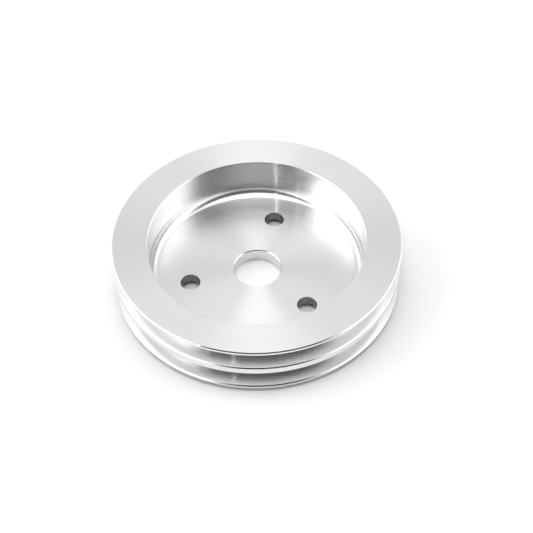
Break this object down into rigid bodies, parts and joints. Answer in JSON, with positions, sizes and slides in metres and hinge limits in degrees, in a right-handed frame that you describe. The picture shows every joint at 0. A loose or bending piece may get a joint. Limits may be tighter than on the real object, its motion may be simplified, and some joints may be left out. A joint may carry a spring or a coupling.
{
  "type": "crankshaft v-belt pulley",
  "caption": "Deep-dish V-belt pulley turned from one billet of aluminium, with stacked belt grooves, a centre bore and a ring of bolt holes in the dish floor.",
  "frame": {"origin": "centre of the bore, in the plane of the back mounting face", "axes": "+Z along the bore axis towards the dished front face; one bolt hole lies on +Y"},
  "size_m": [0.1524, 0.1524, 0.0313],
  "materials": {
    "turned_aluminium": "bright lathe-turned, clear, with fine concentric tool marks"
  },
  "bodies": {
    "root": {"pulley": "turned_aluminium"}
  },
  "joints": []
}
